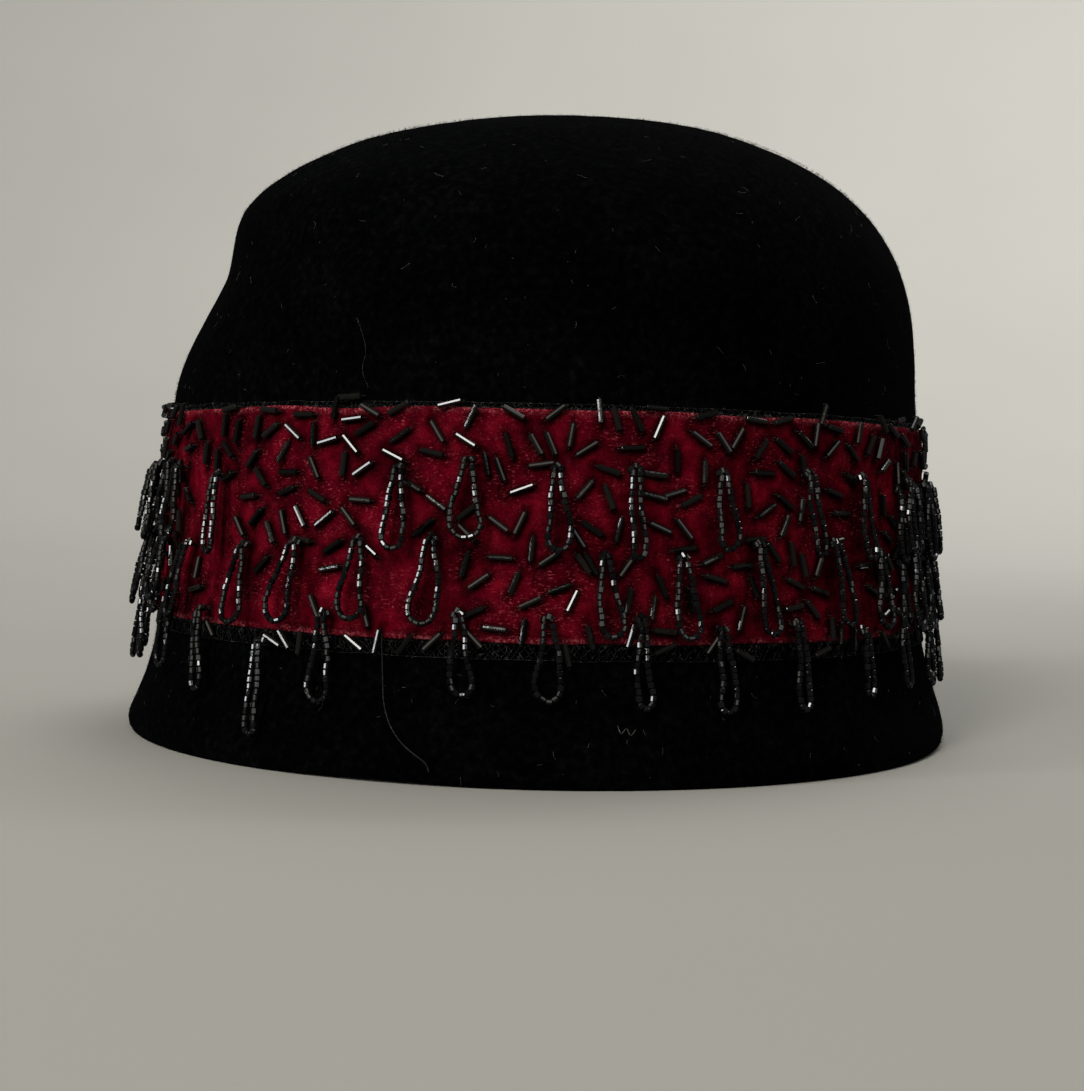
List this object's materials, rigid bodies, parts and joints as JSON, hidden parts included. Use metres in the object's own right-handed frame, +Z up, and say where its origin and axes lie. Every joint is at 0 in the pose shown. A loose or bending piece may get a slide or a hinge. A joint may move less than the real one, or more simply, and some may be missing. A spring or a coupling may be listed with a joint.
{
  "type": "felt hat with beaded band",
  "caption": "Tall rounded felt hat with a flared rim, a velvet ribbon band on net, scattered bugle beads and rows of hanging bead loops.",
  "frame": {"origin": "middle of the rim, on the plane that the rim rests on", "axes": "+Z up through the crown, -Y towards the hat's front as pictured, +X to the right seen from the front; the crown's dent is on -X"},
  "size_m": [0.2, 0.206, 0.1459],
  "materials": {
    "felt": "deep black velour felt, brushed pile",
    "net": "black net, open weave",
    "velvet_ribbon": "dark red velvet ribbon with shiny selvedges",
    "bugle_glass": "opaque black glass, glossy",
    "seed_glass": "opaque black cut glass, glossy"
  },
  "bodies": {
    "root": {"felt_body": "felt", "net_strip": "net", "ribbon": "velvet_ribbon", "bugle_beads": "bugle_glass", "loops_top": "seed_glass", "loops_middle": "seed_glass", "loops_bottom": "seed_glass"}
  },
  "joints": []
}
